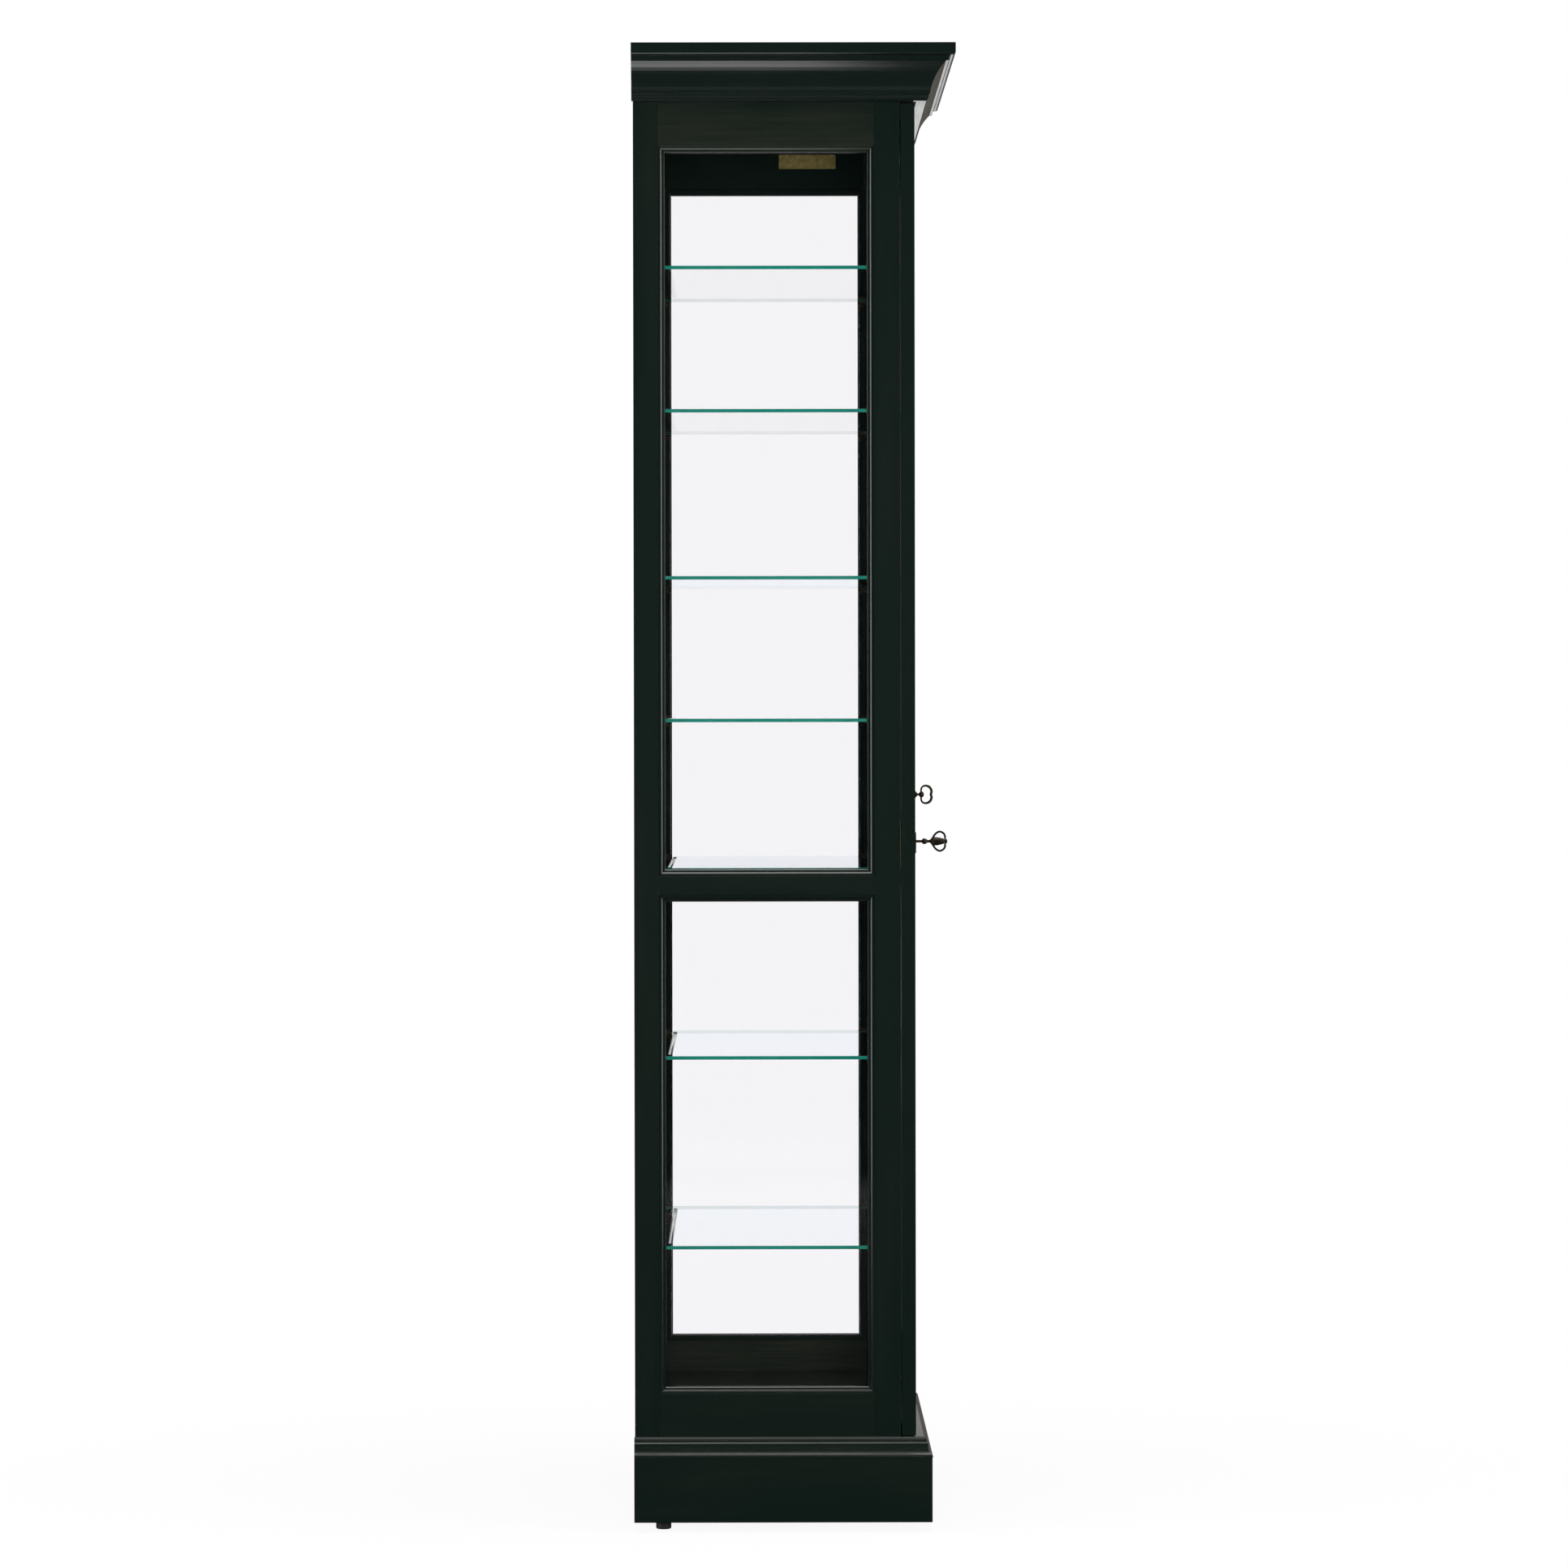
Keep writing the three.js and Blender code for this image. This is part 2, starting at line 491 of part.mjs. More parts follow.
// ---------------------------------------------------------------- assembly
addSide('left', -1);
addSide('right', 1);
addBoards();
addCrownAndBase();
addRunnersAndFeet();
addShelves();
addNameplate();
addDoor();
HINGE.levels.forEach((z, i) => addHinge(['lower', 'middle', 'upper'][i] + '_hinge', z));
addLock();
addKey();
addPull();

export default showcase;
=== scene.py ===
import json
import math

import bmesh
import bpy
from mathutils import Matrix, Vector


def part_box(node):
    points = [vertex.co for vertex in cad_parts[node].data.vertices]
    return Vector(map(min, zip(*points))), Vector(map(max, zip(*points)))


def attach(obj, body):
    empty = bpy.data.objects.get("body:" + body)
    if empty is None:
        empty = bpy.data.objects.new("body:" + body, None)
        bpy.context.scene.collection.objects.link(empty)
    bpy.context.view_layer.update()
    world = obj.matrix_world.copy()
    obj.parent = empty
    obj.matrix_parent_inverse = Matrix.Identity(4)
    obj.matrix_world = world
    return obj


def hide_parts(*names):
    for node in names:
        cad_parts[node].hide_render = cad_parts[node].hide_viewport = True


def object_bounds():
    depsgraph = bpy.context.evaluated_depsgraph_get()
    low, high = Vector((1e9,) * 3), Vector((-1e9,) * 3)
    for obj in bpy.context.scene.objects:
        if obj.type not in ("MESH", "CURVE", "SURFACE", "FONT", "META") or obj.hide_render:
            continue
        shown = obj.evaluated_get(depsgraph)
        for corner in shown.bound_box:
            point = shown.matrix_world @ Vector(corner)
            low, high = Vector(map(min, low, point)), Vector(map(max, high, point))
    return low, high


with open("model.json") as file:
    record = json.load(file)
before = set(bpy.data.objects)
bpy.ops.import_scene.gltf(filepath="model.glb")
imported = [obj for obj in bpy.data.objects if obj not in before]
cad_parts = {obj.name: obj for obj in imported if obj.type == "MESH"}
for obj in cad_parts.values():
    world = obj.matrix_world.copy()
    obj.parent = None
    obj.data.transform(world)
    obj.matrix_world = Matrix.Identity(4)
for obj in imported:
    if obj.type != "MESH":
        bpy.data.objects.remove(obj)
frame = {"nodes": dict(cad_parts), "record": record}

CAD_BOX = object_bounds()
NODES = frame["nodes"]
MM = 0.001

# ------------------------------------------------------------------ places taken from the frame
JOINTS = {joint["name"]: joint for joint in frame["record"]["behaviour"]["joints"]}
INNER_X = -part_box("left_front_stile")[1].x
SHELVES = [f"glass_shelf_{i}" for i in range(1, 8)]
HINGES = ["lower_hinge", "middle_hinge", "upper_hinge"]
SIDES = {"left": -1, "right": 1}
FLOOR_Z = CAD_BOX[0].z
DOOR_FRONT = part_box("door_lock_stile")[0].y
DOOR_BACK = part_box("door_lock_stile")[1].y
KEY_Z = JOINTS["key_turn"]["pos_m"][2]
HINGE_PIN_Y = JOINTS["door_swing"]["pos_m"][1]


# ------------------------------------------------------------------ camera, floor and light
LENS_MM, SENSOR_MM = 148.2, 36
CAMERA_PLACE = (-9.206, 0.0621, 1.1264)
CAMERA_YAW, CAMERA_PITCH, CAMERA_ROLL = 0.3135, 0.6687, 0.085
FAR_CLIP = 200
FLOOR_HALF_SIZE = 60
FLOOR_DROP = 0.2 * MM

# What gloss sees round the horizon, from the near side (-X, place 0) to the far one (+X, place 1).
WALLS = [(0.0, (0.018, 0.027, 0.023)), (0.17, (0.024, 0.031, 0.027)), (0.34, (0.30, 0.29, 0.27)),
         (0.5, (0.85, 0.82, 0.76)), (0.8, (0.30, 0.28, 0.24)), (1.0, (0.15, 0.14, 0.12))]
FAR_HORIZON = (1.20, 1.235, 1.26, 1)
CEILING = (1.5, 1.44, 1.32, 1)
FILL = (0.13, 0.13, 0.13, 1)
BACKDROP = (1, 1, 1, 1)

# Name, place, aim, width and height, power in watts, spread in degrees.
LIGHTS = [
    ("overhead", (-0.6, -0.2, 4.6), (0, 0, 0.5), (2.6, 2.0), 120, 180),
    ("front_softbox", (-2.6, -4.4, 1.75), (0, 0, 1.4), (1.9, 3.5), 140, 180),
    ("rear_softbox", (-2.6, 4.6, 1.75), (0, 0, 1.4), (1.9, 3.5), 130, 180),
    ("floor_bounce", (-1.08, 0.25, 0.02), (-1.08, 0.25, 2.0), (0.46, 0.7), 1.2, 80),
    ("side_key", (-7.0, 0.06, 1.2), (0, 0, 1.05), (1.6, 1.6), 400, 180),
]
NO_GLINT = "side_key"


def make_camera():
    """A long lens far out on the left side, a little over half way up, as in a catalogue side view."""
    camera = bpy.data.objects.new("camera", bpy.data.cameras.new("camera"))
    bpy.context.scene.collection.objects.link(camera)
    camera.data.sensor_width = SENSOR_MM
    camera.data.lens = LENS_MM
    camera.data.clip_end = FAR_CLIP
    yaw, pitch, roll = (math.radians(angle) for angle in (CAMERA_YAW, CAMERA_PITCH, CAMERA_ROLL))
    ahead = Vector((math.cos(yaw) * math.cos(pitch), -math.sin(yaw) * math.cos(pitch), -math.sin(pitch)))
    right = ahead.cross(Vector((0, 0, 1))).normalized()
    right = Matrix.Rotation(roll, 3, ahead) @ right
    up = right.cross(ahead)
    turn = Matrix((right, up, -ahead)).transposed().to_4x4()
    camera.matrix_world = Matrix.Translation(CAMERA_PLACE) @ turn
    bpy.context.scene.camera = camera


def area_light(name, place, aim, size, power, spread):
    """A soft rectangular lamp."""
    data = bpy.data.lights.new(name, "AREA")
    data.shape = "RECTANGLE"
    data.size, data.size_y = size
    data.energy = power
    data.spread = math.radians(spread)
    light = bpy.data.objects.new(name, data)
    light.location = place
    light.rotation_euler = (Vector(aim) - Vector(place)).to_track_quat("-Z", "Y").to_euler()
    light.visible_glossy = name != NO_GLINT
    bpy.context.scene.collection.objects.link(light)


def make_world():
    """A white studio. As gloss sees it, the near side is dark and the walls at both ends are bright.

    The glass shelves mirror a narrow white stretch of the far horizon."""
    world = bpy.data.worlds.new("studio")
    bpy.context.scene.world = world
    world.use_nodes = True
    g = Graph(world.node_tree)
    direction = g.add("ShaderNodeSeparateXYZ", Vector=g.add("ShaderNodeTexCoord").outputs["Generated"])
    across = g.map(direction.outputs["X"], -1, 1, 0, 1)
    walls = g.color_ramp(across, WALLS)
    level = g.map(g.math("ABSOLUTE", direction.outputs["Z"]), 0.086, 0.093, 1, 0)
    ahead = g.map(g.math("ABSOLUTE", direction.outputs["Y"]), 0.03, 0.05, 1, 0)
    far_side = g.map(direction.outputs["X"], 0.0, 0.5, 0, 1)
    horizon = g.math("MULTIPLY", g.math("MULTIPLY", level, ahead), far_side)
    lit_walls = g.mix_color(horizon, walls, FAR_HORIZON)
    overhead = g.map(direction.outputs["Z"], 0.3, 0.9, 0, 1)
    gloss = g.mix_color(overhead, lit_walls, CEILING)
    path = g.add("ShaderNodeLightPath")
    soft = g.mix_color(path.outputs["Is Glossy Ray"], FILL, gloss)
    seen = g.mix_color(path.outputs["Is Camera Ray"], soft, BACKDROP)
    background = world.node_tree.nodes["Background"]
    g.link(seen, background.inputs["Color"])


def make_stage():
    """A pale floor, wide enough to reach the horizon. For the camera it glows white, a painted light that
    washes out most of its real shadow. Reflections see it with painted shade, darker on the near side, and
    with a painted glow far out on the far side; bounce light sees it a painted mid grey.
    """
    bm = bmesh.new()
    bmesh.ops.create_grid(bm, x_segments=1, y_segments=1, size=FLOOR_HALF_SIZE)
    mesh = bpy.data.meshes.new("floor")
    bm.to_mesh(mesh)
    bm.free()
    floor = bpy.data.objects.new("floor", mesh)
    floor.location.z = FLOOR_Z - FLOOR_DROP
    bpy.context.scene.collection.objects.link(floor)
    material = bpy.data.materials.new("pale_floor")
    material.use_nodes = True
    g = Graph(material.node_tree)
    where = g.add("ShaderNodeSeparateXYZ", Vector=g.add("ShaderNodeTexCoord").outputs["Object"])
    # Painted shade in reflections: as gloss sees it, the floor is darker out on the near side and lighter
    # towards the far side.
    beside = g.map(where.outputs["X"], -0.7, 0.3, 0.05, 0.22)
    path = g.add("ShaderNodeLightPath")
    # Painted reflection: far out on the far side, within an aisle, the floor glows for gloss only, a bright
    # stretch for the glass to mirror.
    aisle = g.map(g.math("ABSOLUTE", where.outputs["Y"]), 1.4, 2.4, 1, 0)
    far = g.math("MULTIPLY", g.map(where.outputs["X"], 8.0, 16.0, 0.0, 1.2), aisle)
    beyond = g.math("MULTIPLY", far, path.outputs["Is Glossy Ray"])
    fine = g.noise(g.place(EVEN), 30.0, 3.0)
    white = g.mix_color(fine, (0.93, 0.93, 0.93, 1), (0.97, 0.97, 0.97, 1))
    # Painted light: for the camera the floor glows white; near the cabinet the glow drops a little, so a
    # faint share of the lit floor and of the cabinet's real shadow shows.
    distance = g.add("ShaderNodeVectorMath", Vector=g.add("ShaderNodeTexCoord").outputs["Object"])
    distance.operation = "LENGTH"
    fade = g.map(distance.outputs["Value"], 0.3, 1.5, 0.92, 1.0)
    glow = g.math("ADD", g.math("MULTIPLY", fade, path.outputs["Is Camera Ray"]), beyond)
    shader = g.principled()
    # Painted shade for bounce light: rays other than gloss and the camera see the floor mid grey.
    unseen = g.mix_color(path.outputs["Is Glossy Ray"], (0.3, 0.3, 0.3, 1), beside)
    lit = g.mix_color(glow, g.mix_color(path.outputs["Is Camera Ray"], unseen, white), (0, 0, 0, 1))
    g.link(lit, shader.inputs["Base Color"])
    shader.inputs["Roughness"].default_value = 0.9
    shader.inputs["Specular IOR Level"].default_value = 0.0
    g.link(glow, shader.inputs["Emission Strength"])
    shader.inputs["Emission Color"].default_value = (1, 1, 1, 1)
    floor.data.materials.append(material)


# ------------------------------------------------------------------ node graphs
class Graph:
    """Short forms for building a node tree."""

    def __init__(self, tree):
        self.tree = tree

    def add(self, kind, **inputs):
        node = self.tree.nodes.new(kind)
        for name, value in inputs.items():
            self.link(value, node.inputs[name.replace("_", " ")])
        return node

    def link(self, value, socket):
        """Feeds a socket from a node, from another socket or with a plain value."""
        if isinstance(value, bpy.types.Node):
            value = value.outputs[0]
        if isinstance(value, bpy.types.NodeSocket):
            self.tree.links.new(value, socket)
        else:
            socket.default_value = value

    def principled(self):
        return next(n for n in self.tree.nodes if n.type == "BSDF_PRINCIPLED")

    def output(self):
        return next(n for n in self.tree.nodes if n.type == "OUTPUT_MATERIAL")

    def map(self, value, low, high, to_low, to_high):
        node = self.tree.nodes.new("ShaderNodeMapRange")
        for socket, v in zip(node.inputs, (value, low, high, to_low, to_high)):
            self.link(v, socket)
        return node.outputs[0]

    def math(self, operation, a, b=0.0):
        node = self.tree.nodes.new("ShaderNodeMath")
        node.operation = operation
        self.link(a, node.inputs[0])
        self.link(b, node.inputs[1])
        return node.outputs[0]

    def mix_color(self, factor, a, b):
        node = self.tree.nodes.new("ShaderNodeMix")
        node.data_type = "RGBA"
        self.link(factor, node.inputs["Factor"])
        first, second = [socket for socket in node.inputs if socket.type == "RGBA"]
        self.link(a, first)
        self.link(b, second)
        return next(socket for socket in node.outputs if socket.type == "RGBA")

    def mix_shader(self, factor, a, b):
        node = self.tree.nodes.new("ShaderNodeMixShader")
        for socket, v in zip(node.inputs, (factor, a, b)):
            self.link(v, socket)
        return node.outputs[0]

    def color_ramp(self, value, stops):
        node = self.tree.nodes.new("ShaderNodeValToRGB")
        elements = node.color_ramp.elements
        while len(elements) < len(stops):
            elements.new(0.5)
        for element, (position, color) in zip(elements, stops):
            element.position = position
            element.color = (*color, 1)
        self.link(value, node.inputs[0])
        return node.outputs[0]

    def place(self, scale):
        """Coordinates in the row frame, in metres, times scale along each axis."""
        node = self.tree.nodes.new("ShaderNodeMapping")
        self.link(self.add("ShaderNodeTexCoord").outputs["Object"], node.inputs["Vector"])
        node.inputs["Scale"].default_value = scale
        return node.outputs[0]

    def noise(self, vector, scale, detail=3.0, roughness=0.5):
        node = self.tree.nodes.new("ShaderNodeTexNoise")
        self.link(vector, node.inputs["Vector"])
        node.inputs["Scale"].default_value = scale
        node.inputs["Detail"].default_value = detail
        node.inputs["Roughness"].default_value = roughness
        return node.outputs[0]

    def bump(self, height, strength, distance):
        return self.add("ShaderNodeBump", Height=height, Strength=strength, Distance=distance).outputs[0]


def new_material(name):
    material = bpy.data.materials.new(name)
    material.use_nodes = True
    return material, Graph(material.node_tree)


# ------------------------------------------------------------------ materials
LACQUER_BLACK = (0.0026, 0.0062, 0.0048, 1)
# The brown of the wood's grain, also used as a painted sheen.
GRAIN_AND_SHEEN_BROWN = (0.0125, 0.0145, 0.0098, 1)
PORE_SCALE, BAND_SCALE = (170.0, 5.0), (14.0, 1.7)  # across the grain and along it
FLAT_FROM, FLAT_TO = 0.985, 0.998  # how square to an axis a face turns to count as flat
EVEN = (1, 1, 1)


def lacquer(along, show, kind="", start=0.46):
    """Satin near-black lacquer. Brown streaks along the grain, where show is high, stand for the wood's
    grain and also for a painted brown sheen.

    A low start spreads the brown over more of the surface. Upright flat faces are duller than
    moulded edges."""
    material, g = new_material(f"black_lacquer_{kind}{along}")
    shader = g.principled()
    grain = "xyz".index(along)
    fine, broad = ([along_it if axis == grain else across for axis in range(3)]
                   for across, along_it in (PORE_SCALE, BAND_SCALE))
    pores = g.noise(g.place(fine), 2.0, 4.0, 0.62)
    bands = g.noise(g.place(broad), 1.0, 3.0, 0.55)
    peel = g.noise(g.place(EVEN), 260.0, 1.0)
    # Brown patches along the grain: partly the wood's grain, partly a painted sheen that lightens a face as
    # a reflection would.
    grain_and_painted_sheen = g.map(bands, start, start + 0.22, 0, show)
    streaks = g.map(pores, 0.32, 0.68, 0.2, 1)
    color = g.mix_color(g.math("MULTIPLY", grain_and_painted_sheen, streaks), LACQUER_BLACK, GRAIN_AND_SHEEN_BROWN)
    g.link(color, shader.inputs["Base Color"])
    facing = g.add("ShaderNodeSeparateXYZ", Vector=g.add("ShaderNodeTexCoord").outputs["Normal"])
    squareness = g.math("MAXIMUM", g.math("ABSOLUTE", facing.outputs["X"]),
                        g.math("ABSOLUTE", facing.outputs["Y"]))
    satin = g.map(g.math("ADD", pores, bands), 0.7, 1.3, 0.12, 0.19)
    g.link(g.math("ADD", satin, g.map(squareness, FLAT_FROM, FLAT_TO, 0, 0.18)), shader.inputs["Roughness"])
    g.link(g.map(squareness, FLAT_FROM, FLAT_TO, 0.45, 0.12), shader.inputs["Specular IOR Level"])
    height = g.math("ADD", g.math("MULTIPLY", pores, 0.7), g.math("MULTIPLY", peel, 0.3))
    g.link(g.bump(height, 0.12, 0.0001), shader.inputs["Normal"])
    return material


def clear_glass(name, tint, ior):
    """Thin polished glass: clear straight on, with reflections that grow towards a glancing view.

    The outer face stands for both faces of the sheet, so the inner side of a face has no reflection."""
    material, g = new_material(name)
    one_face = g.add("ShaderNodeFresnel", IOR=ior).outputs[0]
    both_faces = g.math("DIVIDE", g.math("MULTIPLY", one_face, 2.0), g.math("ADD", one_face, 1.0))
    outside = g.math("SUBTRACT", 1.0, g.add("ShaderNodeNewGeometry").outputs["Backfacing"])
    fresnel = g.math("MULTIPLY", both_faces, outside)
    clear = g.add("ShaderNodeBsdfTransparent", Color=tint)
    smear = g.map(g.noise(g.place(EVEN), 6.0, 2.0), 0.3, 0.7, 0.0, 0.02)
    gloss = g.add("ShaderNodeBsdfGlossy", Roughness=smear)
    g.link(g.mix_shader(fresnel, clear, gloss), g.output().inputs["Surface"])
    return material


def glass_edge():
    """The polished edge of float glass, deep green through its thickness."""
    material, g = new_material("glass_edge")
    shader = g.principled()
    along = g.noise(g.place((3, 3, 120)), 3.0, 2.0)
    color = g.mix_color(along, (0.003, 0.12, 0.085, 1), (0.007, 0.18, 0.13, 1))
    g.link(color, shader.inputs["Base Color"])
    shader.inputs["Roughness"].default_value = 0.12
    return material


def ground_glass():
    """The wheel-cut plate groove: frosted, with fine marks along the cut."""
    material, g = new_material("ground_glass")
    marks = g.bump(g.noise(g.place((40, 900, 900)), 1.0, 2.0), 0.3, 0.0001)
    frost = g.add("ShaderNodeBsdfGlossy", Color=(0.93, 0.96, 0.95, 1), Roughness=0.14, Normal=marks)
    clear = g.add("ShaderNodeBsdfTransparent", Color=(0.9, 0.95, 0.93, 1))
    g.link(g.mix_shader(0.8, clear, frost), g.output().inputs["Surface"])
    return material


def mirror():
    """Silvered glass, with a faint unevenness in its gloss."""
    material, g = new_material("silvered_mirror")
    shader = g.principled()
    shader.inputs["Base Color"].default_value = (0.86, 0.88, 0.87, 1)
    shader.inputs["Metallic"].default_value = 1.0
    g.link(g.map(g.noise(g.place(EVEN), 5.0, 2.0), 0.3, 0.7, 0.01, 0.03), shader.inputs["Roughness"])
    return material


def metal(name, dark, light, roughness, grain_scale, bump, metallic=1.0, gloss=0.5):
    """Metal with a patina that varies in tone and gloss, and fine tool marks."""
    material, g = new_material(name)
    shader = g.principled()
    patina = g.noise(g.place(EVEN), 160.0, 4.0, 0.6)
    marks = g.noise(g.place(grain_scale), 1.0, 2.0)
    g.link(g.mix_color(g.map(patina, 0.35, 0.7, 0, 1), dark, light), shader.inputs["Base Color"])
    shader.inputs["Metallic"].default_value = metallic
    shader.inputs["Specular IOR Level"].default_value = gloss
    low, high = roughness
    g.link(g.map(patina, 0.3, 0.7, high, low), shader.inputs["Roughness"])
    g.link(g.bump(marks, bump, 0.00005), shader.inputs["Normal"])
    return material


def plastic():
    """Moulded black nylon with a fine texture."""
    material, g = new_material("foot_nylon")
    shader = g.principled()
    spots = g.noise(g.place(EVEN), 900.0, 2.0)
    color = g.mix_color(spots, (0.012, 0.012, 0.012, 1), (0.022, 0.022, 0.021, 1))
    g.link(color, shader.inputs["Base Color"])
    shader.inputs["Roughness"].default_value = 0.55
    g.link(g.bump(spots, 0.3, 0.0001), shader.inputs["Normal"])
    return material


def backing_board():
    """The plain dark stain of boards that face a wall, the ceiling or the floor."""
    material, g = new_material("stained_backing")
    shader = g.principled()
    fibres = g.noise(g.place((700, 700, 60)), 1.0, 4.0, 0.7)
    color = g.mix_color(fibres, (0.010, 0.009, 0.008, 1), (0.030, 0.026, 0.022, 1))
    g.link(color, shader.inputs["Base Color"])
    shader.inputs["Roughness"].default_value = 0.7
    g.link(g.bump(fibres, 0.5, 0.0002), shader.inputs["Normal"])
    return material


def make_materials():
    """x, y and z are the lacquers with the grain along that axis. plain and brown run along y."""
    return {
        "x": lacquer("x", 0.6), "y": lacquer("y", 0.85, "", 0.38), "z": lacquer("z", 0.3),
        "plain": lacquer("y", 0.25, "plain_"), "brown": lacquer("y", 1.0, "brown_", 0.2),
        "pane": clear_glass("pane_glass", (0.9955, 0.9935, 1.0, 1), 1.34),
        "shelf": clear_glass("shelf_glass", (0.985, 0.995, 0.992, 1), 1.5),
        "edge": glass_edge(), "ground": ground_glass(), "mirror": mirror(),
        "brass": metal("aged_brass", (0.19, 0.15, 0.05, 1), (0.34, 0.27, 0.10, 1), (0.3, 0.45),
                       (40, 900, 40), 0.25, 0.45),
        "bronze": metal("dark_bronze", (0.006, 0.0045, 0.003, 1), (0.030, 0.021, 0.013, 1), (0.28, 0.45),
                        (300, 300, 300), 0.3, 0.25, 0.12),
        "steel": metal("hinge_steel", (0.25, 0.25, 0.25, 1), (0.45, 0.45, 0.44, 1), (0.28, 0.42),
                       (80, 80, 900), 0.2),
        "nylon": plastic(), "backing": backing_board(),
    }


# ------------------------------------------------------------------ mesh helpers
SAME_POINT = 0.00001
SHARP_EDGE = math.radians(32)
WOOD_EASE, LEAF_EASE, LOCK_EASE, ESCUTCHEON_EASE = 0.5 * MM, 0.2 * MM, 0.4 * MM, 0.15 * MM


def new_object(name, bm, materials, smooth_angle=35):
    """A new piece from bm, smooth where its faces meet at less than smooth_angle degrees."""
    bmesh.ops.recalc_face_normals(bm, faces=bm.faces)
    mesh = bpy.data.meshes.new(name)
    bm.to_mesh(mesh)
    bm.free()
    for material in materials:
        mesh.materials.append(material)
    piece = bpy.data.objects.new(name, mesh)
    bpy.context.scene.collection.objects.link(piece)
    mesh.shade_smooth()
    mesh.set_sharp_from_angle(angle=math.radians(smooth_angle))
    return piece


def finish_piece(piece, body, slot, *nodes):
    """Gives a piece its body and hides the CAD nodes named, so that it stands in for them. The slot is not
    used.
    """
    if nodes:
        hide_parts(*nodes)
    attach(piece, body)


def weld(piece):
    """Joins the split corners of an imported node."""
    join = piece.modifiers.new("weld", "WELD")
    join.merge_threshold = SAME_POINT


def soften(piece, width):
    """Welds a CAD node and eases its sharp edges, as sanding or polishing does."""
    weld(piece)
    bevel = piece.modifiers.new("eased_edges", "BEVEL")
    bevel.width = width
    bevel.segments = 2
    bevel.limit_method = "ANGLE"
    bevel.angle_limit = SHARP_EDGE
    bevel.harden_normals = True


def add_box(bm, low, high):
    """A box between two corners. Returns its vertices."""
    low, high = Vector(low), Vector(high)
    matrix = Matrix.Translation((low + high) / 2) @ Matrix.Diagonal((*(high - low), 1))
    return bmesh.ops.create_cube(bm, size=1, matrix=matrix)["verts"]


def add_lathe(bm, profile, place, segments=40):
    """Turned work: profile points are (radius, height); place turns (x, y, height) into a point."""
    rings = []
    for radius, height in profile:
        if radius == 0:
            rings.append([bm.verts.new(place(0, 0, height))])
            continue
        ring = []
        for i in range(segments):
            angle = 2 * math.pi * i / segments
            ring.append(bm.verts.new(place(radius * math.cos(angle), radius * math.sin(angle), height)))
        rings.append(ring)
    for lower, upper in zip(rings, rings[1:]):
        count = max(len(lower), len(upper))
        for i in range(count):
            j = (i + 1) % count
            corners = [lower[i % len(lower)], lower[j % len(lower)],
                       upper[j % len(upper)], upper[i % len(upper)]]
            bm.faces.new(dict.fromkeys(corners))


def add_tube(bm, points, radius, closed, steps, sides=14):
    """A round wire through points in a plane of constant x: a closed curve, or an open one with caps.

    radius takes a point on the wire and gives its radius there."""
    path = catmull_rom([Vector(p) for p in points], closed, steps)
    count = len(path)
    rings = []
    normal = Vector((1, 0, 0))
    for i, point in enumerate(path):
        ahead = path[(i + 1) % count] if closed or i < count - 1 else point
        behind = path[i - 1] if closed or i > 0 else point
        tangent = (ahead - behind).normalized()
        side = tangent.cross(normal).normalized()
        across = side.cross(tangent)
        ring = []
        for k in range(sides):
            angle = 2 * math.pi * k / sides
            spoke = math.cos(angle) * side + math.sin(angle) * across
            ring.append(bm.verts.new(point + radius(point) * spoke))
        rings.append(ring)
    pairs = list(zip(rings, rings[1:])) + ([(rings[-1], rings[0])] if closed else [])
    for lower, upper in pairs:
        for k in range(sides):
            m = (k + 1) % sides
            bm.faces.new((lower[k], lower[m], upper[m], upper[k]))
    if not closed:
        bm.faces.new(rings[0])
        bm.faces.new(reversed(rings[-1]))


def catmull_rom(points, closed, steps):
    """About steps points along a smooth curve through the given ones."""
    count = len(points)
    spans = count if closed else count - 1
    per_span = max(2, steps // spans)

    def pick(i):
        return points[i % count] if closed else points[min(max(i, 0), count - 1)]

    path = []
    for span in range(spans):
        p0, p1, p2, p3 = (pick(span + k) for k in (-1, 0, 1, 2))
        for step in range(per_span):
            t = step / per_span
            path.append(0.5 * (2 * p1 + (p2 - p0) * t + (2 * p0 - 5 * p1 + 4 * p2 - p3) * t ** 2
                               + (3 * p1 - p0 - 3 * p2 + p3) * t ** 3))
    if not closed:
        path.append(points[-1])
    return path


def add_ring(bm, rect, profile, place):
    """A mitred ring inside a rectangle. profile points are (distance in, depth)."""
    a0, a1, b0, b1 = rect
    corners = [(a0, b0, 1, 1), (a1, b0, -1, 1), (a1, b1, -1, -1), (a0, b1, 1, -1)]
    loops = [[bm.verts.new(place(a + da * s, b + db * s, d)) for s, d in profile]
             for a, b, da, db in corners]
    count = len(profile)
    for i in range(4):
        here, there = loops[i], loops[(i + 1) % 4]
        for k in range(count):
            m = (k + 1) % count
            bm.faces.new((here[k], here[m], there[m], there[k]))


# ------------------------------------------------------------------ wood
GRAIN_X = ("door_top_rail", "door_mid_rail", "door_bottom_rail", "crown_front", "base_cap_front",
           "plinth_front", "floor_panel")
PLAIN_Y = ("left_mid_rail", "left_bottom_rail", "right_top_rail", "right_mid_rail", "crown_left",
           "crown_right", "base_cap_left", "base_cap_right", "plinth_left", "plinth_right")
BACKING = ("back_panel", "top_panel", "plinth_back", "foot_runner_front", "foot_runner_rear")


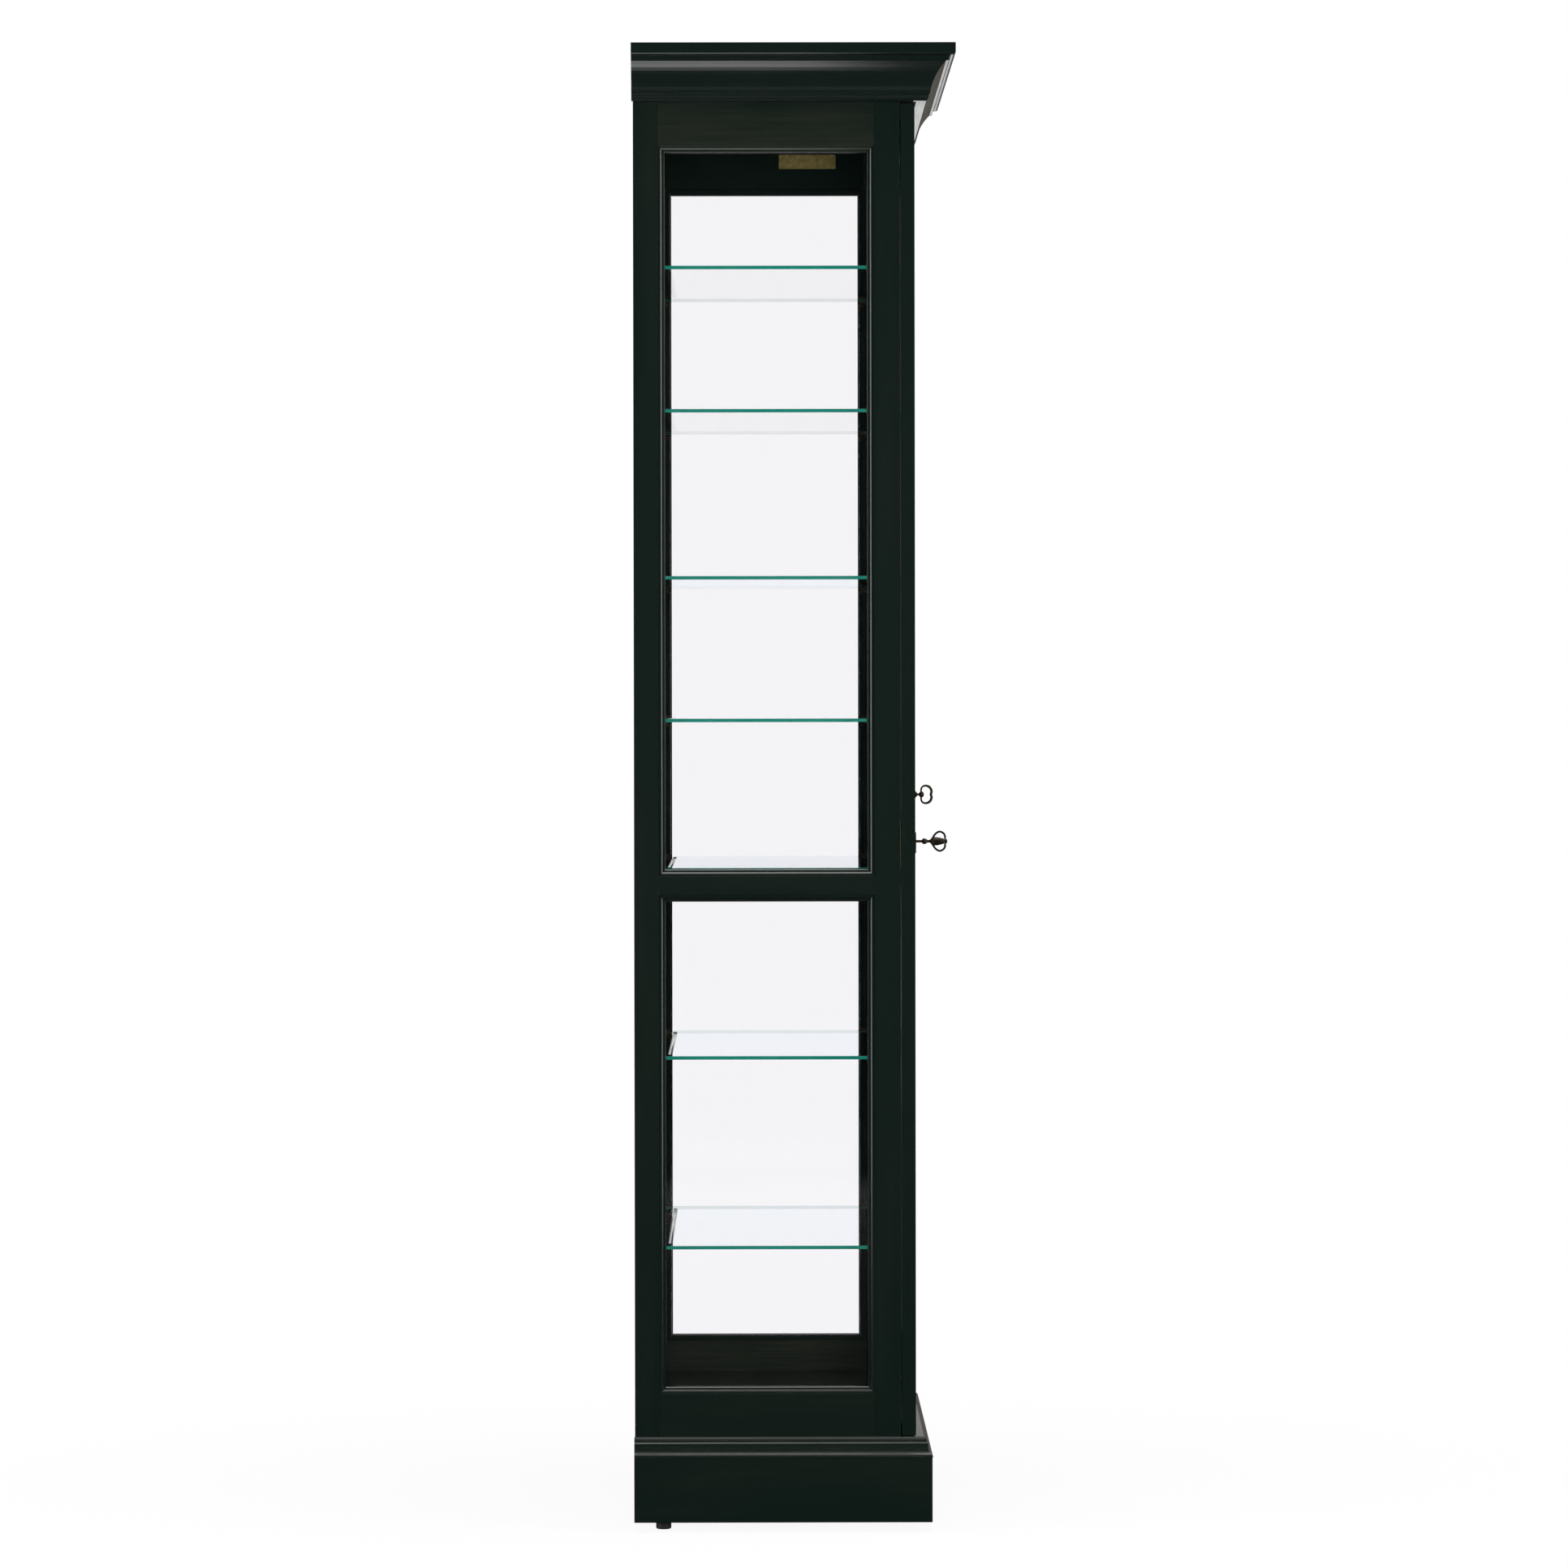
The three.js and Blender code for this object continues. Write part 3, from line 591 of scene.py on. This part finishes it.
def wood_finish(node, materials):
    """The lacquer whose grain runs along the node, or the stain of hidden boards."""
    if node in BACKING:
        return materials["backing"]
    if node in GRAIN_X:
        return materials["x"]
    # The far side's bottom rail takes the most brown, grain and painted sheen, over most of its face.
    if node == "right_bottom_rail":
        return materials["brown"]
    # The near side's top rail shows more brown: grain and a painted sheen.
    if node == "left_top_rail":
        return materials["y"]
    if node in PLAIN_Y:
        return materials["plain"]
    return materials["z"]


def repaint(node, material):
    """A CAD node keeps its shape and takes a new finish."""
    piece = NODES[node]
    piece.data.materials.clear()
    piece.data.materials.append(material)
    return piece


def finish_wood(materials):
    for row in frame["record"]["subparts"]:
        if row["material_slot"] == "black_lacquer":
            soften(repaint(row["node"], wood_finish(row["node"], materials)), WOOD_EASE)


# ------------------------------------------------------------------ glass
SHELF_ARRIS = 0.5 * MM
RETAINER_GAP, RETAINER_EDGE = 0.2 * MM, 0.3 * MM
RETAINER_WIDTH, RETAINER_NOSE = 7.6 * MM, 3.4 * MM


def finish_panes(materials):
    for owner in ("left", "right", "door"):
        for level in ("upper", "lower"):
            repaint(f"{owner}_{level}_glass", materials["pane"])
    repaint("back_mirror", materials["mirror"])


def make_shelf(node, materials):
    """A plate shelf: clear faces, polished green edges with a fine arris, and its ground groove."""
    bm = bmesh.new()
    bm.from_mesh(NODES[node].data)
    bmesh.ops.remove_doubles(bm, verts=bm.verts, dist=SAME_POINT)
    low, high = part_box(node)
    rim_depth, square_corner = 20 * MM, 1.2
    rim = [e for e in bm.edges if len(e.link_faces) == 2 and e.calc_face_angle(0) > square_corner
           and not all(low.y + rim_depth < v.co.y < high.y - rim_depth for v in e.verts)]
    bmesh.ops.bevel(bm, geom=rim, offset=SHELF_ARRIS, segments=2, affect="EDGES", profile=0.5)
    edge, groove = 1, 2
    for face in bm.faces:
        centre = face.calc_center_median()
        inwards = min(centre.y - low.y, high.y - centre.y, centre.x - low.x, high.x - centre.x)
        below_a_face = min(high.z - centre.z, centre.z - low.z)
        if inwards > 1.5 * MM and below_a_face > 0.2 * MM:
            face.material_index = groove
        elif abs(face.normal.z) < 0.98:
            face.material_index = edge
    glass = [materials["shelf"], materials["edge"], materials["ground"]]
    shelf = new_object(f"{node}_plate", bm, glass, 20)
    finish_piece(shelf, "cabinet", "clear_glass", node)


def make_retainer(name, pane, body, depth_axis, inner, materials):
    """A thin quarter-round strip, mitred all round, that holds a pane in its rebate from inside."""
    low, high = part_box(pane)
    along = 1 if depth_axis == 0 else 0
    sign = 1 if inner > (low[depth_axis] + high[depth_axis]) / 2 else -1
    start = (high if sign > 0 else low)[depth_axis] + sign * RETAINER_GAP
    depth = abs(inner - start) - RETAINER_GAP
    rect = (low[along] + RETAINER_EDGE, high[along] - RETAINER_EDGE,
            low.z + RETAINER_EDGE, high.z - RETAINER_EDGE)
    arc = [(RETAINER_WIDTH - RETAINER_NOSE * (1 - math.cos(t)), depth - RETAINER_NOSE * (1 - math.sin(t)))
           for t in (math.pi / 2 * k / 5 for k in range(6))]
    profile = [(0, 0), (RETAINER_WIDTH, 0), *arc, (0, depth)]

    def place(a, b, d):
        point = Vector((0, 0, b))
        point[along] = a
        point[depth_axis] = start + sign * d
        return point

    bm = bmesh.new()
    add_ring(bm, rect, profile, place)
    strip = new_object(name, bm, [materials["z"]], 40)
    finish_piece(strip, body, "black_lacquer")


def make_retainers(materials):
    for side, sign in SIDES.items():
        for level in ("upper", "lower"):
            make_retainer(f"{side}_{level}_retainer", f"{side}_{level}_glass", "cabinet", 0,
                          sign * INNER_X, materials)
    for level in ("upper", "lower"):
        make_retainer(f"door_{level}_retainer", f"door_{level}_glass", "door", 1,
                      DOOR_BACK, materials)


# ------------------------------------------------------------------ shelf clips
CLIP_GRIP, CLIP_WALL_GAP = 0.2 * MM, 0.1 * MM
CLIP_BACK, CLIP_REACH, CLIP_HALF_WIDTH = 2.4 * MM, 11 * MM, 6.6 * MM
CLIP_JAW_TIP = 3.4 * MM
CLIP_SCREW_OUT = 6 * MM


def make_clip(name, sign, y, shelf, materials):
    """A bronze channel clip that grips the end of a shelf, with a clamping screw below."""
    low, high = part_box(shelf)
    z0, z1 = low.z - CLIP_GRIP, high.z + CLIP_GRIP
    wall = sign * (INNER_X - CLIP_WALL_GAP)
    back = wall - sign * CLIP_BACK
    tip = wall - sign * CLIP_REACH
    outline = [(wall, z0 - 4.2 * MM), (tip, z0 - CLIP_JAW_TIP), (tip, z0), (back, z0),
               (back, z1), (tip, z1), (tip, z1 + 1.8 * MM), (wall, z1 + 3.2 * MM)]
    bm = bmesh.new()
    front = [bm.verts.new((x, y - CLIP_HALF_WIDTH, z)) for x, z in outline]
    rear = [bm.verts.new((x, y + CLIP_HALF_WIDTH, z)) for x, z in outline]
    bm.faces.new(front)
    bm.faces.new(reversed(rear))
    for i in range(len(outline)):
        j = (i + 1) % len(outline)
        bm.faces.new((front[i], rear[i], rear[j], front[j]))
    sharp = [e for e in bm.edges if e.calc_face_angle(0) > 0.6]
    bmesh.ops.bevel(bm, geom=sharp, offset=0.45 * MM, segments=2, affect="EDGES")
    screw_x = wall - sign * CLIP_SCREW_OUT
    base = z0 - CLIP_JAW_TIP
    add_lathe(bm, [(0, 0), (1.7 * MM, 0), (1.7 * MM, -1.2 * MM), (2.6 * MM, -1.6 * MM),
                   (2.6 * MM, -3.4 * MM), (1.9 * MM, -4.1 * MM), (0, -4.1 * MM)],
              lambda a, b, h: (screw_x + a, y + b, base + h), 20)
    clip = new_object(name, bm, [materials["bronze"]])
    finish_piece(clip, "cabinet", "bronze")


def make_clips(materials):
    front_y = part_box("left_upper_glass")[0].y + 2.4 * MM
    back_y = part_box("left_upper_glass")[1].y - 1.0 * MM
    for shelf in SHELVES:
        for side, sign in SIDES.items():
            for end, y in (("front", front_y), ("back", back_y)):
                make_clip(f"{shelf}_clip_{side}_{end}", sign, y, shelf, materials)


# ------------------------------------------------------------------ hardware
LOOP_WIRE = 1.4 * MM
PLATE_CORNER, PLATE_PIN_INSET = 1.8 * MM, 5 * MM
LEAF_GAP, SUNK = 0.15 * MM, 0.35 * MM
LEAF_SCREW_STEP, LEAF_SCREW_IN, LEAF_MIDDLE_SCREW_IN = 22 * MM, 6.5 * MM, 13 * MM
LEAF_SCREW, LOCK_SCREW, BOARD_SCREW = 2.6 * MM, 2.0 * MM, 3.2 * MM
LOCK_SCREW_INSET = 5 * MM
BOARD_SCREW_INSET, BOARD_SCREW_ROWS, BOARD_SCREW_SPACES = 10 * MM, 9, 5


def on_door(x, z):
    """Turned work that stands out of the door's front."""
    return lambda a, b, out: (x + a, DOOR_FRONT - out, z + b)


def make_pull(materials):
    """A bow-shaped pull: a waisted stem with a bent wire bow."""
    low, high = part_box("pull")
    centre = (low + high) / 2
    bm = bmesh.new()
    stem = [(0, 0.2), (5.2, 0.2), (5.4, 0.6), (5.0, 1.1), (3.4, 2.2), (1.9, 3.6), (1.3, 4.7), (1.3, 5.2),
            (2.3, 6.3), (3.7, 7.3), (4.6, 8.3), (4.8, 9.1), (4.5, 10.0), (3.5, 11.2), (2.9, 12.1),
            (1.6, 12.6), (0, 12.7)]
    add_lathe(bm, [(r * MM, h * MM) for r, h in stem], on_door(centre.x, centre.z))
    half = [(8.9, 3.8), (9.2, 8.2), (11.6, 11.2), (15.6, 12), (20, 10.3), (22.6, 6.8), (23.1, 3),
            (22.4, 0.8)]
    bow = half + [(out, -up) for out, up in reversed(half)]
    points = [(centre.x, DOOR_FRONT - out * MM, centre.z + up * MM) for out, up in bow]

    def swell(point):
        """The bow is thickest at its outer side."""
        out = (DOOR_FRONT - point.y) / MM
        return (1.2 + 0.55 * min(max((out - 10) / 10, 0), 1)) * MM

    add_tube(bm, points, swell, True, 112)
    pull = new_object("pull_bow", bm, [materials["bronze"]], 50)
    finish_piece(pull, "door", "bronze", "pull")


def make_key(materials):
    """The key: stem, turned collars, a solid acorn and a pair of wire bows."""
    low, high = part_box("key")
    x, z = (low.x + high.x) / 2, KEY_Z
    stem_end = (DOOR_FRONT - high.y) / MM
    collar = [(2.3, 10.0), (3.4, 10.8), (3.9, 11.9), (4.1, 13.2), (3.9, 14.6), (3.2, 15.8), (2.4, 16.8),
              (1.9, 18.0), (1.8, 19.6), (2.1, 20.8), (3.0, 21.8)]
    acorn = [(4.3, 22.6), (5.2, 23.8), (5.6, 24.6), (5.5, 25.0), (5.75, 25.5), (5.8, 28), (5.6, 31),
             (5.1, 34), (4.4, 37), (3.7, 39.2), (3.1, 40.6)]
    finial = [(2.8, 41.1), (3.6, 42.0), (3.8, 42.8), (3.2, 43.9), (1.9, 44.6), (0, 44.8)]
    stem = [(0, stem_end), (1.8, stem_end), (1.8, 9.6), *collar, *acorn, *finial]
    bm = bmesh.new()
    add_lathe(bm, [(r * MM, h * MM) for r, h in stem], on_door(x, z))
    lobe = [(24.5, 4.2), (28.6, 10.2), (34, 13.2), (39.2, 11.2), (41.6, 7.2), (41.4, 3.4)]
    for up in (1, -1):
        points = [(x, DOOR_FRONT - out * MM, z + up * rise * MM) for out, rise in lobe]
        add_tube(bm, points, lambda point: LOOP_WIRE, False, 64)
    bit = add_box(bm, (x - 0.9 * MM, high.y - 7.5 * MM, z - 7 * MM),
                  (x + 0.9 * MM, high.y - 1.5 * MM, z - 1 * MM))
    bit_edges = list({e for v in bit for e in v.link_edges})
    bmesh.ops.bevel(bm, geom=bit_edges, offset=0.2 * MM, segments=1, affect="EDGES")
    key = new_object("key_with_bows", bm, [materials["bronze"]], 50)
    finish_piece(key, "key", "bronze", "key")


def make_nameplate(materials):
    """A blank brass plate with round corners, a raised rim and two pins."""
    low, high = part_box("blank_nameplate")
    bm = bmesh.new()
    steps = 5
    outline = []
    for cy, cz, turn in ((high.y, high.z, 0), (low.y, high.z, 1), (low.y, low.z, 2), (high.y, low.z, 3)):
        sy, sz = (-1 if turn in (0, 3) else 1), (-1 if turn in (0, 1) else 1)
        for k in range(steps + 1):
            angle = math.pi / 2 * (turn + k / steps)
            outline.append((cy + PLATE_CORNER * (sy + math.cos(angle)),
                            cz + PLATE_CORNER * (sz + math.sin(angle))))
    centre = (low + high) / 2
    levels = [(0, high.x), (0, low.x + 0.25 * MM), (0.25 * MM, low.x), (1.2 * MM, low.x),
              (1.45 * MM, low.x + 0.3 * MM)]
    loops = []
    for inset, x in levels:
        ring = []
        for y, z in outline:
            sy = 1 - inset / (high.y - centre.y)
            sz = 1 - inset / (high.z - centre.z)
            ring.append(bm.verts.new((x, centre.y + (y - centre.y) * sy, centre.z + (z - centre.z) * sz)))
        loops.append(ring)
    for a, b in zip(loops, loops[1:]):
        for i in range(len(a)):
            j = (i + 1) % len(a)
            bm.faces.new((a[i], a[j], b[j], b[i]))
    bm.faces.new(loops[0])
    bm.faces.new(reversed(loops[-1]))
    pin = [(0, 0.07), (1.2, 0.07), (1.2, -0.07), (0.8, -0.21), (0, -0.28)]
    for end in (low.y + PLATE_PIN_INSET, high.y - PLATE_PIN_INSET):
        add_lathe(bm, [(r * MM, h * MM) for r, h in pin],
                  lambda a, b, h, y=end: (low.x + 0.3 * MM + h, y + a, centre.z + b), 16)
    plate = new_object("nameplate_rimmed", bm, [materials["brass"]])
    finish_piece(plate, "cabinet", "brass", "blank_nameplate")


def add_screw(bm, place, radius):
    """A countersunk screw. Its head stands just proud of the surface and is dished in the middle."""
    head = [(0, -1.0), (0.6, -1.0), (1, 0.1), (0.93, 0.3), (0.5, 0.42), (0.22, 0.42), (0, -0.3)]
    add_lathe(bm, [(radius * share, h * MM) for share, h in head], place, 20)


def make_screws(name, body, slot, material, radius, spots):
    """spots are (point, outward direction): the heads of a set of screws that go in together."""
    bm = bmesh.new()
    for point, outward in spots:
        turn = Vector(outward).to_track_quat("Z", "Y").to_matrix()
        origin = Vector(point)
        add_screw(bm, lambda a, b, h, t=turn, o=origin: o + t @ Vector((a, b, h)), radius)
    screws = new_object(name, bm, [material])
    finish_piece(screws, body, slot)


def hinge_screws(hinge, materials):
    """Three screws in each leaf, on the face that shows when the door is open."""
    for leaf, body, outward in (("carcass", "cabinet", -1), ("door", "door", 1)):
        low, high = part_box(f"{hinge}_{leaf}_leaf")
        centre_z = (low.z + high.z) / 2
        face = HINGE_PIN_Y - outward * (LEAF_GAP + SUNK)
        spots = []
        for k in (-1, 0, 1):
            x = low.x + (LEAF_SCREW_IN if k else LEAF_MIDDLE_SCREW_IN)
            spots.append(((x, face, centre_z + k * LEAF_SCREW_STEP), (0, outward, 0)))
        make_screws(f"{hinge}_{leaf}_screws", body, "hinge_steel", materials["steel"], LEAF_SCREW, spots)


def finish_hardware(materials):
    """New finishes for the hinge leaves, the lock, its escutcheon and the feet, and the lock's screws."""
    for hinge in HINGES:
        for leaf in ("carcass", "door"):
            soften(repaint(f"{hinge}_{leaf}_leaf", materials["steel"]), LEAF_EASE)
    for node in ("lock_case", "lock_bolt"):
        soften(repaint(node, materials["brass"]), LOCK_EASE)
    soften(repaint("escutcheon", materials["bronze"]), ESCUTCHEON_EASE)
    for end in ("front_left", "front_right", "rear_left", "rear_right"):
        weld(repaint(f"levelling_foot_{end}", materials["nylon"]))
    low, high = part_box("lock_case")
    spots = [((x, high.y, z), (0, 1, 0)) for x in (low.x + LOCK_SCREW_INSET, high.x - LOCK_SCREW_INSET)
             for z in (low.z + LOCK_SCREW_INSET, high.z - LOCK_SCREW_INSET)]
    make_screws("lock_case_screws", "door", "brass", materials["brass"], LOCK_SCREW, spots)


def back_screws(materials):
    """Screws round the edge of the back board."""
    low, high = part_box("back_panel")
    left, right = low.x + BOARD_SCREW_INSET, high.x - BOARD_SCREW_INSET
    bottom, top = low.z + 2 * BOARD_SCREW_INSET, high.z - 2 * BOARD_SCREW_INSET
    spots = []
    for i in range(BOARD_SCREW_ROWS):
        z = bottom + (top - bottom) * i / (BOARD_SCREW_ROWS - 1)
        spots += [((x, high.y, z), (0, 1, 0)) for x in (left, right)]
    for i in range(1, BOARD_SCREW_SPACES):
        x = low.x + (high.x - low.x) * i / BOARD_SCREW_SPACES
        spots += [((x, high.y, z), (0, 1, 0)) for z in (bottom, top)]
    make_screws("back_panel_screws", "cabinet", "hinge_steel", materials["steel"], BOARD_SCREW, spots)


# ------------------------------------------------------------------ build
bpy.context.scene.view_settings.view_transform = "Standard"

make_camera()
make_world()
make_stage()
for light_row in LIGHTS:
    area_light(*light_row)

finishes = make_materials()
finish_wood(finishes)
finish_panes(finishes)
for shelf_node in SHELVES:
    make_shelf(shelf_node, finishes)
make_retainers(finishes)
make_clips(finishes)
make_pull(finishes)
make_key(finishes)
make_nameplate(finishes)
finish_hardware(finishes)
for hinge_name in HINGES:
    hinge_screws(hinge_name, finishes)
back_screws(finishes)
